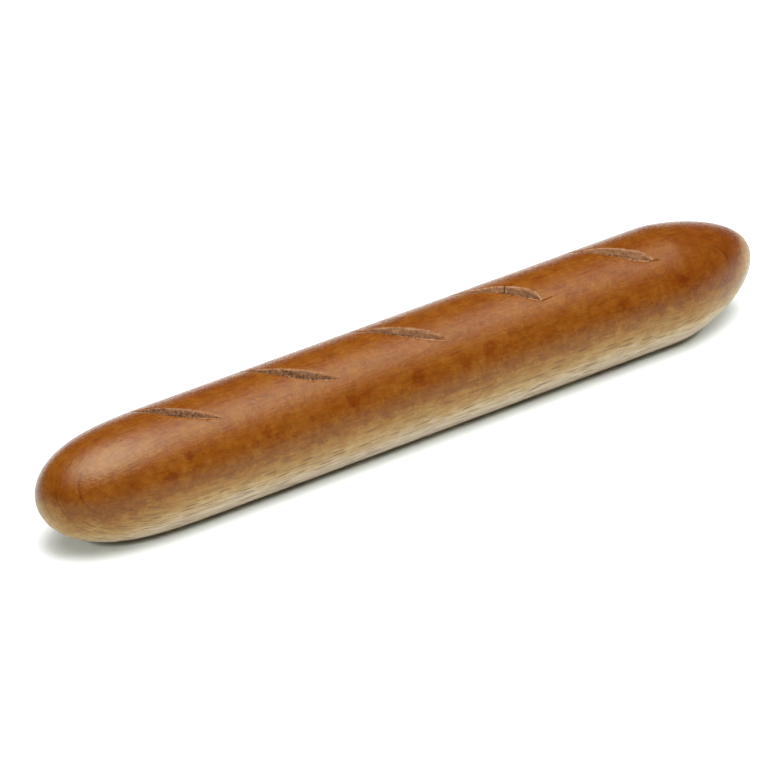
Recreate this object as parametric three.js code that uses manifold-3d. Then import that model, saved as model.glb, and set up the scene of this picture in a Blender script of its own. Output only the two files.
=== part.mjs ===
// A wooden play-food baguette: one solid bar of turned beech with two rounded ends, a planed base
// and five slanting grooves cut across its crown.
//
// Millimetres, +Z up. X runs along the loaf, from its full round end to its more pointed end.
// The origin is the centre of the bounding box's base, on the planed face that the loaf rests on.

import * as THREE from "three";
import { mergeVertices } from "three/addons/utils/BufferGeometryUtils.js";
import Module from "manifold-3d";

// Driving dimensions of the bar
const LENGTH = 175;
const DIAMETER = 25;
const AXIS_HEIGHT = 10.9; // the turning axis above the planed base
const TIP_RISE = 1.2; // how far each tip lies above the turning axis

// Each end is a dome. A higher fullness keeps the bar thick for longer before it closes.
const ROUND_END = { side: -1, length: 37, fullness: 3.4, steps: 20 };
const POINTED_END = { side: 1, length: 23, fullness: 1.5, steps: 14 };

// The grooves: a slanted V cutter crosses the crown at one height, so the round top gives each
// groove its pointed ends. They are spaced unevenly, as the hand-fed original is.
const GROOVE_CENTRES = [-55.5, -28.2, -1.9, 22.7, 51.8]; // along X
const GROOVE_OFFSET = -0.7; // along Y, away from the middle of the crown
const GROOVE_ANGLE = THREE.MathUtils.degToRad(40); // between a groove and the X axis
const GROOVE_DEPTH = 1.6; // below the crown
const GROOVE_FLOOR = 0.4; // width of the flat at the bottom
const FAR_WALL_WIDTH = 1.3; // across the wall on the +Y side, at the crown
const NEAR_WALL_WIDTH = 1.4; // across the wall on the -Y side, at the crown

// Fineness of the round surfaces
const ROUND_SEGMENTS = 72;

// Finish: satin varnish over a brown stain
const STAIN_COLOUR = 0x955620;
const VARNISH_ROUGHNESS = 0.42;

const RADIUS = DIAMETER / 2;
const CROWN_HEIGHT = AXIS_HEIGHT + RADIUS;

const wasm = await Module();
wasm.setup();

// A closed three.js geometry as a solid. Triangles that close to a line at a pole are left out.
function toSolid(geometry) {
  const bare = geometry.clone();
  bare.deleteAttribute("normal");
  bare.deleteAttribute("uv");
  const merged = mergeVertices(bare);
  const index = merged.getIndex().array;
  const corners = [];
  for (let i = 0; i < index.length; i += 3) {
    const [a, b, c] = index.slice(i, i + 3);
    if (a !== b && b !== c && c !== a) {
      corners.push(a, b, c);
    }
  }
  return new wasm.Manifold(
    new wasm.Mesh({
      numProp: 3,
      vertProperties: new Float32Array(merged.getAttribute("position").array),
      triVerts: new Uint32Array(corners),
    }),
  );
}

// A solid as a three.js geometry, with one normal per face
function toGeometry(solid) {
  const mesh = solid.getMesh();
  const geometry = new THREE.BufferGeometry();
  geometry.setAttribute("position", new THREE.BufferAttribute(mesh.vertProperties, 3));
  geometry.setIndex(new THREE.BufferAttribute(mesh.triVerts, 1));
  const faceted = geometry.toNonIndexed();
  faceted.computeVertexNormals();
  return faceted;
}

// The outline of one end, from its tip to the straight stretch, as (radius, position along X)
function endProfile(end) {
  const points = [];
  for (let i = 0; i <= end.steps; i += 1) {
    const reach = Math.cos((i / end.steps) * (Math.PI / 2));
    const radius = RADIUS * Math.sqrt(1 - reach ** end.fullness);
    const x = end.side * (LENGTH / 2 - end.length * (1 - reach));
    points.push(new THREE.Vector2(radius, x));
  }
  return points;
}

// How far the bar's middle line lies above the turning axis at a place along X
function riseAt(x) {
  const end = x < 0 ? ROUND_END : POINTED_END;
  const reach = (Math.abs(x) - (LENGTH / 2 - end.length)) / end.length;
  return TIP_RISE * Math.max(reach, 0) ** 2;
}

// The turned bar before its base is planed: round, with its tips lifted a little
function turnedBar() {
  const profile = [...endProfile(ROUND_END), ...endProfile(POINTED_END).reverse()];
  const geometry = new THREE.LatheGeometry(profile, ROUND_SEGMENTS);
  geometry.rotateZ(-Math.PI / 2);
  const position = geometry.getAttribute("position");
  for (let i = 0; i < position.count; i += 1) {
    const x = position.getX(i);
    position.setZ(i, position.getZ(i) + AXIS_HEIGHT + riseAt(x));
  }
  return toSolid(geometry);
}

// The space above the plane z = 0, which the planed bar keeps
function aboveTheBase() {
  const geometry = new THREE.BoxGeometry(2 * LENGTH, 2 * DIAMETER, 2 * DIAMETER);
  geometry.translate(0, 0, DIAMETER);
  return toSolid(geometry);
}

// The V cutter for one groove: its section, widened above the crown, drawn out along the groove
function grooveCutter(centre) {
  const widening = 2; // the section reaches this many groove depths up, well clear of the crown
  const section = new THREE.Shape([
    new THREE.Vector2(-GROOVE_FLOOR / 2, 0),
    new THREE.Vector2(GROOVE_FLOOR / 2, 0),
    new THREE.Vector2(GROOVE_FLOOR / 2 + widening * FAR_WALL_WIDTH, widening * GROOVE_DEPTH),
    new THREE.Vector2(-GROOVE_FLOOR / 2 - widening * NEAR_WALL_WIDTH, widening * GROOVE_DEPTH),
  ]);
  const reach = 2 * DIAMETER;
  const geometry = new THREE.ExtrudeGeometry(section, { depth: reach, bevelEnabled: false });
  geometry.translate(0, 0, -reach / 2);
  const across = new THREE.Vector3(Math.sin(GROOVE_ANGLE), Math.cos(GROOVE_ANGLE), 0);
  const up = new THREE.Vector3(0, 0, 1);
  const along = new THREE.Vector3().crossVectors(across, up);
  geometry.applyMatrix4(new THREE.Matrix4().makeBasis(across, up, along));
  geometry.translate(centre, GROOVE_OFFSET, CROWN_HEIGHT - GROOVE_DEPTH);
  return toSolid(geometry);
}

function baguetteSolid() {
  let solid = turnedBar().intersect(aboveTheBase());
  for (const centre of GROOVE_CENTRES) {
    solid = solid.subtract(grooveCutter(centre));
  }
  return solid;
}

const stainedBeech = new THREE.MeshStandardMaterial({
  color: STAIN_COLOUR,
  roughness: VARNISH_ROUGHNESS,
  metalness: 0,
});

const baguette = new THREE.Mesh(toGeometry(baguetteSolid()), stainedBeech);
baguette.name = "baguette";

const group = new THREE.Group();
group.add(baguette);

export default group;
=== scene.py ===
"""A wooden toy baguette on a plain white ground.

The loaf is one bar of beech, turned round, planed flat underneath and cut across the crown by five
slanting grooves. A brown stain under satin varnish covers its top and fades out down its sides.
Metres throughout, in the CAD model's frame: +X along the loaf, +Z up, origin under its middle.
"""

import math
from typing import NamedTuple

import bmesh
import bpy
import numpy as np
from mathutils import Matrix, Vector, noise


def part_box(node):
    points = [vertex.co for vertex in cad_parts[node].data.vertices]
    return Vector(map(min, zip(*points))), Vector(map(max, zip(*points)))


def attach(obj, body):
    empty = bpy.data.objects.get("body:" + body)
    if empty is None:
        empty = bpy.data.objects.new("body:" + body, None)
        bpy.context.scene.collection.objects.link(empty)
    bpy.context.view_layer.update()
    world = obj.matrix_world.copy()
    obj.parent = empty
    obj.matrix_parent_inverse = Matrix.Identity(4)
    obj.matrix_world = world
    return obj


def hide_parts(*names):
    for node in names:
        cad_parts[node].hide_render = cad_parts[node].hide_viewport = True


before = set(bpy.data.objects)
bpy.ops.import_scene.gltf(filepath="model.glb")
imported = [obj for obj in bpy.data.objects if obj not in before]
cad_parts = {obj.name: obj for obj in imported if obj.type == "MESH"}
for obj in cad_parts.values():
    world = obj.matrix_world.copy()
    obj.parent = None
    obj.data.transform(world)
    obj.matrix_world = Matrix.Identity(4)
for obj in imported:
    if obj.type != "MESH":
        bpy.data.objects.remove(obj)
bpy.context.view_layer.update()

MM = 0.001

# ---------------------------------------------------------------- sizes

LOW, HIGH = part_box("baguette")
LENGTH = HIGH.x - LOW.x
RADIUS = (HIGH.y - LOW.y) / 2
AXIS_HEIGHT = 0.872 * RADIUS  # the turning axis above the planed base
TIP_RISE = 1.2 * MM  # how far each tip lies above the turning axis

# Each end is a dome. A higher fullness keeps the bar thick for longer before it closes.
ROUND_END = {"side": -1, "length": 37 * MM, "fullness": 3.4, "rings": 70}
POINTED_END = {"side": 1, "length": 23 * MM, "fullness": 1.5, "rings": 46}
STRAIGHT_RINGS = 160
SANDING_DEPTH = 0.05 * MM  # the most that hand sanding took off
SANDING_REACH = 14 * MM  # how long its hollows are
SANDING_TURN = 1.3  # how often they change round the bar
ARC_POINTS = 128  # round the turned surface, from one edge of the base to the other
BASE_POINTS = 16  # across the planed base
TIP_RADIUS = 1e-9  # of the ring at a tip, whose points are merged later
MERGE_DISTANCE = 0.002 * MM  # points closer together than this become one


class Groove(NamedTuple):
    """One cut across the crown, in millimetres and degrees: a lens with two bulging lips."""

    x: float  # the middle of the line between its tips
    y: float
    angle: float  # from the X axis, towards the front
    length: float
    far: float  # how far the two lips bulge from the line between the tips
    near: float
    skew: float = 0.0  # moves the widest place towards the front tip
    bow: float = 0.0  # bends the whole groove towards the far side
    blunt: float = 2.0  # 2 closes the front end to a slender tip, and more makes it stubby
    depth: float = 1.7


GROOVES = (
    Groove(-55.5, -0.7, 40, 18.6, 1.35, 1.60, skew=-0.15, bow=-1.2, blunt=2.0),
    Groove(-28.2, -0.9, 39, 20.0, 1.15, 1.60, skew=0.00, bow=-1.5, blunt=2.4),
    Groove(-1.9, -1.0, 39, 20.0, 1.40, 1.60, skew=-0.05, bow=-0.6, blunt=3.0),
    Groove(22.7, -0.5, 39, 18.4, 2.30, 0.75, skew=0.20, bow=0.4, blunt=4.5),
    Groove(51.8, -0.5, 43, 17.6, 1.65, 1.55, skew=0.10, bow=-0.4, blunt=3.8),
)
# Slips of the blade past the front tips, and a split down the far wall of the fourth groove
SCRATCHES = (
    Groove(31.6, -6.3, -2, 3.0, 0.10, 0.10, depth=0.40),
    Groove(59.1, -6.6, 6, 1.9, 0.07, 0.05, depth=0.30),
    Groove(25.6, 0.1, -51, 1.8, 0.10, 0.10, depth=1.9),
)

# Dark spots on the front, where rays lie flat in the surface and drank more stain. In millimetres:
# their x, their height above the base and their size.
STAIN_SPOTS = (
    (-73.6, 17.5, 0.9),
    (-64.1, 15.8, 1.0),
    (-59.1, 18.2, 0.8),
    (-40.6, 17.8, 1.0),
    (-19.8, 17.6, 1.3),
    (-3.9, 17.5, 1.5),
    (14.2, 17.8, 1.3),
    (47.5, 17.2, 1.3),
    (63.1, 17.5, 1.1),
)


# ---------------------------------------------------------------- the turned bar


def reach_into(end, x):
    """How far x lies into an end's dome: 0 where the straight stretch stops, 1 at the tip."""
    return np.clip((end["side"] * x - (LENGTH / 2 - end["length"])) / end["length"], 0, 1)


def bar_radius(x):
    """The bar's radius at x."""
    shrink = 1 - reach_into(ROUND_END, x) ** ROUND_END["fullness"]
    shrink = shrink * (1 - reach_into(POINTED_END, x) ** POINTED_END["fullness"])
    return RADIUS * np.sqrt(shrink)


def bar_axis(x):
    """The height of the bar's middle line at x."""
    rise = reach_into(ROUND_END, x) ** 2 + reach_into(POINTED_END, x) ** 2
    return AXIS_HEIGHT + TIP_RISE * rise


def sanded(x, turn):
    """How far hand sanding has lowered the turned surface at x and an angle round the bar."""
    place = Vector((x / SANDING_REACH, SANDING_TURN * math.cos(turn), SANDING_TURN * math.sin(turn)))
    return SANDING_DEPTH * (0.5 + 0.5 * noise.noise(place))


def crown_height(x, y):
    """The height of the uncut bar's upper surface above a point of the base plane."""
    return bar_axis(x) + np.sqrt(np.maximum(bar_radius(x) ** 2 - y ** 2, 0))


def ring_places():
    """Where the bar's rings lie along X, closer together towards the tips."""
    places = []
    for end in (ROUND_END, POINTED_END):
        turn = np.linspace(0, math.pi / 2, end["rings"] + 1)
        dome = end["side"] * (LENGTH / 2 - end["length"] * (1 - np.cos(turn)))
        places.append(dome)
    straight = np.linspace(places[0][-1], places[1][-1], STRAIGHT_RINGS)[1:-1]
    return np.concatenate([places[0], straight, places[1][::-1]])


def ring(x):
    """One ring of points: over the turned surface from base edge to base edge, and back below."""
    radius = max(float(bar_radius(x)), TIP_RADIUS)
    axis = float(bar_axis(x))
    edge = -math.asin(min(axis / radius, 1))
    turn = np.linspace(edge, math.pi - edge, ARC_POINTS)
    most = radius / 20  # keeps the small rings at the tips round
    worn = radius - np.array([min(sanded(x, angle), most) for angle in turn])
    arc_y = -worn * np.cos(turn)
    arc_z = axis + worn * np.sin(turn)
    arc_z[0] = arc_z[-1] = max(axis - radius, 0)
    base_y = np.linspace(arc_y[-1], arc_y[0], BASE_POINTS + 2)[1:-1]
    base_z = np.full(BASE_POINTS, arc_z[0])
    across = np.concatenate([arc_y, base_y])
    up = np.concatenate([arc_z, base_z])
    return np.stack([np.full(len(across), x), across, up], axis=1)


def skin(rings):
    """Vertices and faces of the closed skin over a row of equal rings."""
    count = len(rings[0])
    faces = []
    for i in range(len(rings) - 1):
        for j in range(count):
            k = (j + 1) % count
            faces.append((i * count + j, i * count + k, (i + 1) * count + k, (i + 1) * count + j))
    return np.concatenate(rings), faces


def solid_object(name, rings):
    """A closed mesh object over a row of rings, with points that fall together merged."""
    vertices, faces = skin(rings)
    mesh = bpy.data.meshes.new(name)
    mesh.from_pydata(vertices.tolist(), [], faces)
    piece = bpy.data.objects.new(name, mesh)
    bpy.context.scene.collection.objects.link(piece)
    edit = bmesh.new()
    edit.from_mesh(mesh)
    bmesh.ops.remove_doubles(edit, verts=edit.verts, dist=MERGE_DISTANCE)
    bmesh.ops.holes_fill(edit, edges=edit.edges)
    bmesh.ops.recalc_face_normals(edit, faces=edit.faces)
    bmesh.ops.triangulate(edit, faces=edit.faces)
    edit.to_mesh(mesh)
    edit.free()
    return piece


# ---------------------------------------------------------------- the grooves

# In millimetres, like the list of grooves
STEPS_PER_MM = 8  # along a groove
WALL_STEPS = 16  # down each wall
LIP_FLARE = 0.16  # how far a lip is rounded back
LIP_DEPTH = 0.12  # and how deep the rounding goes
APEX_SHARE = 0.3  # where the floor lies between the far lip, 0, and the near lip, 1
FLOOR_WIDTH = 0.3
CLEARANCE = 1.5  # how far a cutter stands out of the bar
LEVEL_CROWDING = 1.6  # sets the steps down a wall closer together near its lip
LEAST_SWELL = 1e-4  # keeps a cutter's last rings from closing
SEED_STEP = 17.3  # sets the noise in one groove apart from the next

# Torn fibres: how far they move a wall, and how long they run along it
RAGGED = 0.08
RAGGED_LENGTH = 0.28
CHIPPED = 0.10
CHIPPED_LENGTH = 0.9
LIFTED = 0.2
LIFTED_LENGTH = 0.45


def rough(x, y, z, seed):
    """Smooth repeatable noise from about -1 to 1 at a place given in its own wavelengths."""
    return noise.noise(Vector((x, y, z + seed * SEED_STEP)))


def wall_offset(height, reach, depth):
    """How far a wall stands from the middle of the floor, at a height that is negative inside."""
    sunk = min(height, 0)
    share = 1 + sunk / depth
    floor = FLOOR_WIDTH / 2 * min(1, depth)
    flare = min(LIP_FLARE, reach / 3)
    return floor + (reach - floor - flare) * share + flare * math.exp(sunk / LIP_DEPTH) + max(height, 0)


def groove_section(far, near, depth):
    """Across a groove, as (offset, height): down the near wall and up the far one."""
    apex = far - APEX_SHARE * (far + near)
    levels = [CLEARANCE, *(-depth * np.linspace(0, 1, WALL_STEPS) ** LEVEL_CROWDING)]
    near_wall = [(apex - wall_offset(level, near + apex, depth), level) for level in levels]
    far_wall = [(apex + wall_offset(level, far - apex, depth), level) for level in levels]
    return near_wall + far_wall[::-1]


def torn(groove, u, offset, height, number):
    """How far torn fibres move a point of a groove's wall: sideways and up."""
    sunk = min(max(-2 * height, 0.25), 1)  # a quarter at the lip, and whole half a millimetre down
    ragged = RAGGED * rough(u / RAGGED_LENGTH, height / 1.1, offset / 2, number)
    chipped = CHIPPED * rough(u / CHIPPED_LENGTH, height / 0.8, 4.0, number)
    lifted = LIFTED * rough(u / LIFTED_LENGTH, offset / 0.35, 9.0, number) if height < 0 else 0
    softer = min(1, (groove.far + groove.near) / 2)  # narrow cuts tear less
    return softer * (ragged * sunk + chipped), softer * lifted * sunk


def groove_cutter(number, groove):
    """The solid that is taken out of the bar for one groove."""
    angle = math.radians(groove.angle)
    along = np.array([math.cos(angle), -math.sin(angle)])
    across = np.array([math.sin(angle), math.cos(angle)])
    middle = np.array([groove.x, groove.y])
    rings = []
    for s in np.linspace(-1, 1, round(groove.length * STEPS_PER_MM)):
        skewed = s - groove.skew * (1 - s * s)
        power = groove.blunt if skewed > 0 else 2
        swell = max(1 - abs(skewed) ** power, LEAST_SWELL)
        u = groove.length / 2 * s
        section = groove_section(groove.far * swell, groove.near * swell, groove.depth * swell)
        ring_points = []
        for offset, height in section:
            sideways, up = torn(groove, u, offset, height, number)
            closing = min(1, 2 * swell)
            shift = offset + groove.bow * (1 - s * s) + sideways * closing
            x, y = (middle + along * u + across * shift) * MM
            ring_points.append((x, y, crown_height(x, y) + (height + up * closing) * MM))
        rings.append(np.array(ring_points))
    return solid_object(f"groove_cutter_{number}", rings)


def cut(piece, cutters):
    """Takes the cutters out of the piece and removes them."""
    for cutter in cutters:
        modifier = piece.modifiers.new(cutter.name, "BOOLEAN")
        modifier.operation = "DIFFERENCE"
        modifier.solver = "EXACT"
        modifier.object = cutter
    graph = bpy.context.evaluated_depsgraph_get()
    mesh = bpy.data.meshes.new_from_object(piece.evaluated_get(graph))
    piece.modifiers.clear()
    piece.data = mesh
    for cutter in cutters:
        bpy.data.objects.remove(cutter)


def mark_depth(piece):
    """Stores how deep in the bar each vertex of a groove lies, in millimetres."""
    mesh = piece.data
    depths = []
    for vertex in mesh.vertices:
        x, y, z = vertex.co
        axis = float(bar_axis(x))
        turn = math.atan2(z - axis, -y)
        surface = float(bar_radius(x)) - sanded(x, turn)
        depth = surface - math.hypot(y, z - axis)
        in_crown = z > AXIS_HEIGHT + RADIUS / 3  # as every groove is
        depths.append(max(depth, 0) / MM if in_crown else 0)
    mesh.attributes.new("depth", "FLOAT", "POINT").data.foreach_set("value", depths)


def make_loaf():
    """The whole bar with its grooves cut."""
    loaf = solid_object("baguette_wood", [ring(x) for x in ring_places()])
    cut(loaf, [groove_cutter(i, groove) for i, groove in enumerate(GROOVES + SCRATCHES)])
    mark_depth(loaf)
    loaf.data.shade_smooth()
    return loaf


# ---------------------------------------------------------------- materials

GRAIN_TURN = math.radians(33)  # the rays stand square to a line this far above the front's level
RAY_CELL = (9, 0.75)  # the room for one ray, in millimetres along the grain and round the tree
RAY_SHIFTS = ((0, 0, 0), (41, 23, 0))  # set two crops of rays apart
RAY_SIZE = (0.14, 0.2)  # the solid part of a ray and the whole of it, as shares of its cell
RAY_CHANCE = (0.35, 0.95)  # cells under the first have no ray, and those over the second a full one
FLAT_RAYS = 0.15  # how clearly rays show where they lie flat
YEAR_WIDTH = 1.0  # what the tree grew in a year, in millimetres
YEAR_WANDER = 4.0  # how many years' growth the rings stray by

# How often each pattern changes in a millimetre: along the grain, round the tree and out from it
YEAR_DRIFT = (0.012, 0.05, 0.05)
FIBRES = (0.17, 2.8, 1.2)
BANDS = (0.02, 0.5, 0.9)
FIBRE_RELIEF = (0.2, 3.0, 3.0)

# The same along the loaf, across it and up
STAIN_DRIFT = (0.05, 0.1, 0.1)
STAIN_EDGE = (0.35, 0.4, 0.4)
PATCHES = (0.3, 0.25, 0.25)
MOTTLE = (0.9, 0.7, 0.7)
SPECKLE = (2.2, 2.2, 2.2)
STREAKS = (0.5, 0.5, 4.0)
UNEVEN_SATIN = (0.8, 1.5, 1.5)

# Beech, bare and in the grooves
BEECH = (0.44, 0.355, 0.252, 1)
BEECH_BAND = (0.40, 0.30, 0.20, 1)
MEAN_BEECH = (0.345, 0.26, 0.164, 1)
LATE_WOOD = (0.25, 0.125, 0.055, 1)
DARK_FIBRE = (0.20, 0.12, 0.06, 1)
PALE_FIBRE = (0.53, 0.45, 0.33, 1)
RAY = (0.12, 0.042, 0.010, 1)
TORN_BROWN = (0.22, 0.10, 0.040, 1)
TORN_TAN = (0.29, 0.148, 0.064, 1)
PIT = (0.05, 0.018, 0.007, 1)
CRUMB = (0.38, 0.25, 0.14, 1)
# Painted shade: a near-black laid over the deepest part of a groove, broken up by speckle
GROOVE_BOTTOM_SHADE = (0.035, 0.013, 0.005, 1)
BROKEN_LIP = (0.40, 0.18, 0.075, 1)
CLEANER_CUTS = (-40, 20)  # along X, in millimetres: between these the cutter came to tear less

# Depths in a groove, in millimetres, between which each change takes place
TORN_WOOD_BEGINS = (0.03, 0.10)
BROKEN_LIP_ENDS = (0.08, 0.2)
VARNISH_ENDS = (0.12, 0.3)
# where the painted shade in a groove's deepest part sets in
BOTTOM_SHADE_BEGINS = (1.05, 1.4)

# The stain. Heights are above the base, and every length is in millimetres.
STAIN_FILTER = (0.44, 0.163, 0.014, 1)  # what one coat of stain lets through
THIN_STAIN = (4.5, 13.0)  # the heights between which a thin coat sets in
FULL_STAIN = (11.2, 13.8)  # the heights between which the rest of the coat does
POOLED_STAIN = (14.5, 19.0)  # the heights between which its pooled lower edge ends
THIN_SHARE = 0.65  # of the whole coat
EDGE_WANDER = 3.0  # how far the lower edge wanders along the loaf
EDGE_FRAY = 8.0  # how far it is frayed
ROUND_TIP = 3  # the lower edge lies higher this near the round tip
ROUND_TIP_RISE = 3
POINTED_TIP = 12  # and this near the pointed one
POINTED_TIP_RISE = 7
SHOULDER = (-80, -55)  # along X: the edge lies lower before the first, and evens out by the second
SHOULDER_DROP = 2
DARKER_END = (30, 85)  # along X: between these the coat grows thicker

# How much each of them adds to one coat, or takes away where its pattern is low
PATCHES_ADD = 0.12
MOTTLE_ADDS = (0.08, 0.13)  # elsewhere, and where the stain pooled
DARKER_END_ADDS = 0.14
SPOTS_ADD = 0.36
RAYS_ADD = 0.09
SPOT_WAVE = 1.5  # how long and how wide the frayed edges of the spots are
SPOT_FRAY = 3.4

# The varnish
BARE_ROUGHNESS = 0.34
STAINED_ROUGHNESS = 0.2
UNEVEN_ROUGHNESS = 0.12  # the most that its unevenness adds
TORN_ROUGHNESS = 0.4  # what the unvarnished groove walls add
VARNISH_IOR = 1.385
VARNISH_TINT = (1.0, 0.95, 0.62, 1)  # of what it mirrors
RELIEF = 0.05 * MM  # the height of the fibres and of the varnish's ripples

# The ground
GROUND_SIZE = 40
GROUND_WHITE = (0.75, 0.79, 0.70, 1)
GROUND_GLOW = (0.93, 1, 0.97, 1)
GLOW_STRENGTH = 0.22
GLOW_CLEARANCE = 1.2 * MM  # the glow, which is painted light, stops where something stands this close over it, and so paints a contact shadow


class Shader:
    """A material's node tree, with short calls for the nodes used here."""

    def __init__(self, name):
        self.material = bpy.data.materials.new(name)
        self.material.use_nodes = True
        self.tree = self.material.node_tree
        self.surface = self.tree.nodes["Principled BSDF"]

    def feed(self, socket, value):
        """Gives a socket a link, if value is another socket, or else a plain value."""
        if isinstance(value, bpy.types.NodeSocket):
            self.tree.links.new(value, socket)
        else:
            socket.default_value = value

    def node(self, kind, inputs, **settings):
        made = self.tree.nodes.new(kind)
        for name, value in settings.items():
            setattr(made, name, value)
        for key, value in inputs.items():
            self.feed(made.inputs[key], value)
        return made

    def math(self, operation, a, b=0.0, c=0.0):
        inputs = {0: a, 1: b, 2: c}
        return self.node("ShaderNodeMath", inputs, operation=operation).outputs[0]

    def ramp(self, value, low, high, start=0.0, end=1.0):
        """value taken smoothly from start at low to end at high."""
        inputs = {"Value": value, "From Min": low, "From Max": high, "To Min": start, "To Max": end}
        return self.node("ShaderNodeMapRange", inputs, interpolation_type="SMOOTHSTEP").outputs[0]

    def stretched(self, place, scale):
        inputs = {0: place, 1: scale}
        return self.node("ShaderNodeVectorMath", inputs, operation="MULTIPLY").outputs[0]

    def noise(self, place, detail=2.0, roughness=0.5):
        inputs = {"Vector": place, "Scale": 1.0, "Detail": detail, "Roughness": roughness}
        return self.node("ShaderNodeTexNoise", inputs).outputs[0]

    def mix(self, share, a, b, blend="MIX"):
        inputs = {0: share, 6: a, 7: b}
        made = self.node("ShaderNodeMix", inputs, data_type="RGBA", blend_type=blend)
        return made.outputs[2]


def millimetres(shader):
    """The piece's own coordinates in millimetres."""
    place = shader.node("ShaderNodeTexCoord", {}).outputs["Object"]
    return shader.stretched(place, (1 / MM, 1 / MM, 1 / MM))


def ray_crop(shader, grain, shift):
    """One crop of rays: thin plates, long along the grain."""
    moved = shader.node("ShaderNodeVectorMath", {0: grain, 1: shift}, operation="ADD").outputs[0]
    cells = shader.stretched(moved, (1 / RAY_CELL[0], 1 / RAY_CELL[1], 1))
    inputs = {"Vector": cells, "Scale": 1.0}
    voronoi = shader.node("ShaderNodeTexVoronoi", inputs, voronoi_dimensions="2D")
    chance = shader.node("ShaderNodeSeparateColor", {0: voronoi.outputs["Color"]}).outputs[0]
    plate = shader.ramp(voronoi.outputs["Distance"], *RAY_SIZE, 1, 0)
    return shader.math("MULTIPLY", plate, shader.ramp(chance, *RAY_CHANCE))


def ray_flecks(shader, grain):
    """Beech's rays, which show as short dark dashes, and faintly where they lie flat."""
    flecks = 0.0
    for shift in RAY_SHIFTS:
        flecks = shader.math("MAXIMUM", flecks, ray_crop(shader, grain, shift))
    round_tree = shader.node("ShaderNodeSeparateXYZ", {0: grain}).outputs["Y"]
    middle = AXIS_HEIGHT / MM * math.sin(GRAIN_TURN)
    aside = shader.math("ABSOLUTE", shader.math("ADD", round_tree, middle))
    edge_on = shader.ramp(aside, 0.75 * RADIUS / MM, RADIUS / MM, 1, FLAT_RAYS)
    return shader.math("MULTIPLY", flecks, edge_on)


def year_rings(shader, grain):
    """The year rings: 1 in the thin dense line of late wood that ends each year."""
    radius = shader.node("ShaderNodeSeparateXYZ", {0: grain}).outputs["Z"]
    drift = shader.noise(shader.stretched(grain, YEAR_DRIFT), 2.0)
    years = shader.math("MULTIPLY_ADD", drift, YEAR_WANDER, shader.math("DIVIDE", radius, YEAR_WIDTH))
    season = shader.math("FRACT", years)
    late = shader.ramp(season, 0.82, 0.95)
    return shader.math("MULTIPLY", late, shader.ramp(season, 0.96, 1.0, 1, 0))


def bare_beech(shader, grain, flecks):
    """The colour of the unstained wood."""
    fibres = shader.noise(shader.stretched(grain, FIBRES), 2.0, 0.7)
    bands = shader.noise(shader.stretched(grain, BANDS), 3.0, 0.6)
    rings = year_rings(shader, grain)
    colour = shader.mix(shader.ramp(bands, 0.35, 0.65), BEECH, BEECH_BAND)
    colour = shader.mix(shader.math("MULTIPLY", rings, 0.75), colour, LATE_WOOD)
    colour = shader.mix(shader.ramp(fibres, 0.53, 0.63, 0, 0.75), colour, DARK_FIBRE)
    colour = shader.mix(shader.ramp(fibres, 0.36, 0.47, 0.45, 0), colour, PALE_FIBRE)
    return shader.mix(shader.math("MULTIPLY", flecks, 0.95), colour, RAY)


def spot(shader, place, x, height, size):
    """1 inside one dark spot on the front of the loaf."""
    front = -math.sqrt((RADIUS / MM) ** 2 - (height - AXIS_HEIGHT / MM) ** 2)
    inputs = {0: place, 1: (x, front, height)}
    away = shader.node("ShaderNodeVectorMath", inputs, operation="DISTANCE").outputs["Value"]
    return shader.ramp(away, 0.5 * size, 1.7 * size, 1, 0)


def shaken(shader, place, wave, reach):
    """Places moved about by up to about half of reach, to break up even outlines."""
    inputs = {"Vector": place, "Scale": 1 / wave, "Detail": 3.0, "Roughness": 0.6}
    drift = shader.node("ShaderNodeTexNoise", inputs).outputs["Color"]
    inputs = {0: drift, 1: (0.5, 0.5, 0.5)}
    level = shader.node("ShaderNodeVectorMath", inputs, operation="SUBTRACT").outputs[0]
    inputs = {0: level, 1: (reach, reach, reach), 2: place}
    return shader.node("ShaderNodeVectorMath", inputs, operation="MULTIPLY_ADD").outputs[0]


def stain_coat(shader, place):
    """How fully the stain covers the surface, and how much of it pooled at the lower edge."""
    axes = shader.node("ShaderNodeSeparateXYZ", {0: place})
    x = axes.outputs["X"]
    tip = LENGTH / 2 / MM
    round_tip = shader.ramp(x, -tip, -tip + ROUND_TIP, ROUND_TIP_RISE, 0)
    pointed_tip = shader.ramp(x, tip - POINTED_TIP, tip, 0, POINTED_TIP_RISE)
    rise = shader.math("ADD", round_tip, pointed_tip)
    rise = shader.math("ADD", rise, shader.ramp(x, *SHOULDER, -SHOULDER_DROP, 0))
    height = shader.math("SUBTRACT", axes.outputs["Z"], rise)
    drift = shader.noise(shader.stretched(place, STAIN_DRIFT), 2.0)
    edge = shader.noise(shader.stretched(place, STAIN_EDGE), 6.0, 0.75)
    level = shader.math("ADD", height, -EDGE_WANDER / 2)
    level = shader.math("MULTIPLY_ADD", drift, EDGE_WANDER, level)
    level = shader.math("ADD", level, -EDGE_FRAY / 2)
    level = shader.math("MULTIPLY_ADD", edge, EDGE_FRAY, level)
    thin = shader.ramp(level, *THIN_STAIN)
    full = shader.ramp(level, *FULL_STAIN)
    coat = shader.math("MULTIPLY", thin, THIN_SHARE)
    coat = shader.math("MULTIPLY_ADD", full, 1 - THIN_SHARE, coat)
    pool = shader.math("MULTIPLY", full, shader.ramp(level, *POOLED_STAIN, 1, 0))
    return coat, pool


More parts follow.
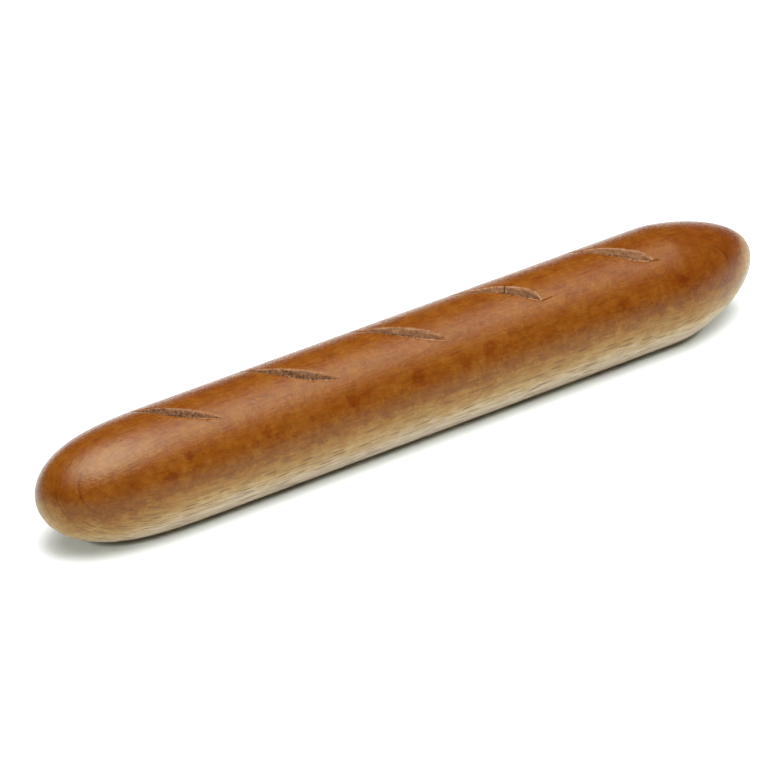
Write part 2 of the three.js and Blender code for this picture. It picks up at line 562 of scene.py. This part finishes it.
def stain_depth(shader, place, flecks, coat, pool):
    """How much stain the surface holds: 0 bare and 1 the usual coat, most uneven where it pooled."""
    patches = shader.noise(shader.stretched(place, PATCHES), 4.0, 0.6)
    mottle = shader.noise(shader.stretched(place, MOTTLE), 5.0, 0.75)
    broken = shaken(shader, place, SPOT_WAVE, SPOT_FRAY)
    spots = 0.0
    for x, height, size in STAIN_SPOTS:
        spots = shader.math("MAXIMUM", spots, spot(shader, broken, x, height, size))
    extra = shader.ramp(patches, 0.3, 0.7, -PATCHES_ADD, PATCHES_ADD)
    clouds = shader.ramp(mottle, 0.36, 0.64, -1, 1)
    clouds = shader.math("MULTIPLY", clouds, shader.ramp(pool, 0, 1, *MOTTLE_ADDS))
    extra = shader.math("ADD", extra, clouds)
    along = shader.node("ShaderNodeSeparateXYZ", {0: place}).outputs["X"]
    extra = shader.math("ADD", extra, shader.ramp(along, *DARKER_END, 0, DARKER_END_ADDS))
    extra = shader.math("MULTIPLY_ADD", spots, SPOTS_ADD, extra)
    extra = shader.math("MULTIPLY_ADD", flecks, RAYS_ADD, extra)
    return shader.math("MULTIPLY", coat, shader.math("ADD", extra, 1.0))


def torn_wood(shader, place, depth):
    """The colour inside a groove: torn fibres with dark pits, painted shade in its deepest part, and a
    paler broken lip.
    """
    x = shader.node("ShaderNodeSeparateXYZ", {0: place}).outputs["X"]
    pitted = shader.ramp(x, *CLEANER_CUTS, 0.95, 0.2)
    speckle = shader.noise(shader.stretched(place, SPECKLE), 3.0, 0.8)
    streaks = shader.noise(shader.stretched(place, STREAKS), 3.0, 0.6)
    colour = shader.mix(shader.ramp(streaks, 0.3, 0.7), TORN_BROWN, TORN_TAN)
    pits = shader.math("MULTIPLY", shader.ramp(speckle, 0.51, 0.57), pitted)
    colour = shader.mix(pits, colour, PIT)
    crumbs = shader.math("MULTIPLY", shader.ramp(speckle, 0.42, 0.34), pitted)
    colour = shader.mix(shader.math("MULTIPLY", crumbs, 0.5), colour, CRUMB)
    # Painted shade: the deepest part of the groove turns near black in speckled patches
    bottom_shade = shader.math("MULTIPLY", shader.ramp(depth, *BOTTOM_SHADE_BEGINS), shader.ramp(speckle, 0.47, 0.54))
    colour = shader.mix(shader.math("MULTIPLY", bottom_shade, 0.9), colour, GROOVE_BOTTOM_SHADE)
    return shader.mix(shader.ramp(depth, *BROKEN_LIP_ENDS, 0.45, 0), colour, BROKEN_LIP)


def beech_material():
    shader = Shader("stained_beech")
    place = millimetres(shader)
    inputs = {"Vector": place, "Rotation": (GRAIN_TURN, 0, 0)}
    grain = shader.node("ShaderNodeMapping", inputs).outputs[0]
    coat, pool = stain_coat(shader, place)
    rays = ray_flecks(shader, grain)
    depth = shader.node("ShaderNodeAttribute", {}, attribute_name="depth").outputs["Fac"]

    # The stain colours the wood as a filter does, and hides part of its grain
    bare = bare_beech(shader, grain, rays)
    bare = shader.mix(shader.math("MULTIPLY", coat, 0.7), bare, MEAN_BEECH)
    stain = stain_depth(shader, place, rays, coat, pool)
    filtered = shader.node("ShaderNodeGamma", {"Color": STAIN_FILTER, "Gamma": stain}).outputs[0]
    colour = shader.mix(1.0, bare, filtered, "MULTIPLY")
    inside = shader.ramp(depth, *TORN_WOOD_BEGINS)
    colour = shader.mix(inside, colour, torn_wood(shader, place, depth))
    shader.feed(shader.surface.inputs["Base Color"], colour)

    uneven = shader.noise(shader.stretched(place, UNEVEN_SATIN), 5.0, 0.7)
    roughness = shader.ramp(coat, 0, 1, BARE_ROUGHNESS, STAINED_ROUGHNESS)
    roughness = shader.math("ADD", roughness, shader.ramp(uneven, 0.3, 0.7, 0, UNEVEN_ROUGHNESS))
    roughness = shader.math("ADD", roughness, shader.ramp(depth, *VARNISH_ENDS, 0, TORN_ROUGHNESS))
    shader.feed(shader.surface.inputs["Roughness"], roughness)
    shader.surface.inputs["IOR"].default_value = VARNISH_IOR
    shader.surface.inputs["Specular Tint"].default_value = VARNISH_TINT

    fibres = shader.noise(shader.stretched(grain, FIBRE_RELIEF), 4.0, 0.6)
    relief = shader.math("MULTIPLY_ADD", rays, -0.15, fibres)
    relief = shader.math("MULTIPLY_ADD", uneven, 1.6, relief)
    bump = {"Strength": 0.8, "Distance": RELIEF, "Height": relief}
    shader.feed(shader.surface.inputs["Normal"], shader.node("ShaderNodeBump", bump).outputs[0])
    return shader.material


def floor_material():
    """Matt white with a glow of its own: painted light that thins the shadows, dimmed near a contact so
    that a painted contact shadow stays.
    """
    shader = Shader("white_ground")
    shader.surface.inputs["Base Color"].default_value = GROUND_WHITE
    shader.surface.inputs["Roughness"].default_value = 0.9
    shader.surface.inputs["Specular IOR Level"].default_value = 0.0
    shader.surface.inputs["Emission Color"].default_value = GROUND_GLOW
    inputs = {"Distance": GLOW_CLEARANCE}
    open_sky = shader.node("ShaderNodeAmbientOcclusion", inputs, samples=4).outputs["AO"]
    # The glow is painted light, and its dimming where something stands close over the ground is a painted
    # contact shadow
    glow = shader.ramp(open_sky, 0.4, 0.85, 0, GLOW_STRENGTH)
    shader.feed(shader.surface.inputs["Emission Strength"], glow)
    return shader.material


# ---------------------------------------------------------------- studio

CAMERA_AZIMUTH = math.radians(-36.3)
CAMERA_ELEVATION = math.radians(30)
CAMERA_DISTANCE = 1.688
CAMERA_LENS = 394.2
CAMERA_AIM = Vector((-3.44, 1.14, 10.07)) * MM
LAMP_COLOUR = (1.0, 1.0, 1.13)
LAMP_LEAN = 0.17  # how far in front of the loaf the lamps hang, as a share of their height
ROOM_FADE = {"From Min": 0.0, "From Max": 0.06, "To Min": 0.9, "To Max": 0.04}  # up from the horizon


def make_floor():
    bpy.ops.mesh.primitive_plane_add(size=GROUND_SIZE)
    floor = bpy.context.object
    floor.name = "ground"
    floor.data.materials.append(floor_material())


def make_camera():
    data = bpy.data.cameras.new("camera")
    data.lens = CAMERA_LENS
    data.sensor_width = 36
    data.clip_start = 0.1
    data.clip_end = 100
    camera = bpy.data.objects.new("camera", data)
    bpy.context.scene.collection.objects.link(camera)
    level = math.cos(CAMERA_ELEVATION)
    back = Vector((
        math.sin(CAMERA_AZIMUTH) * level,
        -math.cos(CAMERA_AZIMUTH) * level,
        math.sin(CAMERA_ELEVATION),
    ))
    camera.location = CAMERA_AIM + back * CAMERA_DISTANCE
    camera.rotation_euler = back.to_track_quat("Z", "Y").to_euler()
    bpy.context.scene.camera = camera


def round_light(name, height, spread, brightness):
    """A round lamp overhead, spread degrees from its middle to its edge as seen from the loaf."""
    radius = height * math.tan(math.radians(spread))
    data = bpy.data.lights.new(name, "AREA")
    data.shape = "DISK"
    data.size = 2 * radius
    data.energy = brightness * math.pi * math.pi * radius ** 2
    data.color = LAMP_COLOUR
    light = bpy.data.objects.new(name, data)
    bpy.context.scene.collection.objects.link(light)
    light.location = (0, -LAMP_LEAN * height, height)


def make_world():
    """A dark room with a white horizon, which carries the white ground on."""
    world = bpy.data.worlds.new("studio")
    bpy.context.scene.world = world
    world.use_nodes = True
    tree = world.node_tree
    split = tree.nodes.new("ShaderNodeSeparateXYZ")
    tree.links.new(tree.nodes.new("ShaderNodeTexCoord").outputs["Generated"], split.inputs[0])
    fade = tree.nodes.new("ShaderNodeMapRange")
    fade.interpolation_type = "SMOOTHSTEP"
    tree.links.new(split.outputs["Z"], fade.inputs["Value"])
    for key, value in ROOM_FADE.items():
        fade.inputs[key].default_value = value
    background = tree.nodes["Background"]
    background.inputs["Color"].default_value = (1, 1, 1, 1)
    tree.links.new(fade.outputs[0], background.inputs["Strength"])


def make_lights():
    """One soft lamp overhead, brighter in its middle."""
    round_light("lamp", height=1.3, spread=38, brightness=3.0)
    round_light("lamp_middle", height=1.2, spread=25, brightness=5.9)


# ---------------------------------------------------------------- the scene

make_camera()
loaf = make_loaf()
loaf.data.materials.clear()
loaf.data.materials.append(beech_material())
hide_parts("baguette")
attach(loaf, "root")
make_floor()
make_lights()
make_world()
bpy.context.scene.view_settings.view_transform = "Standard"
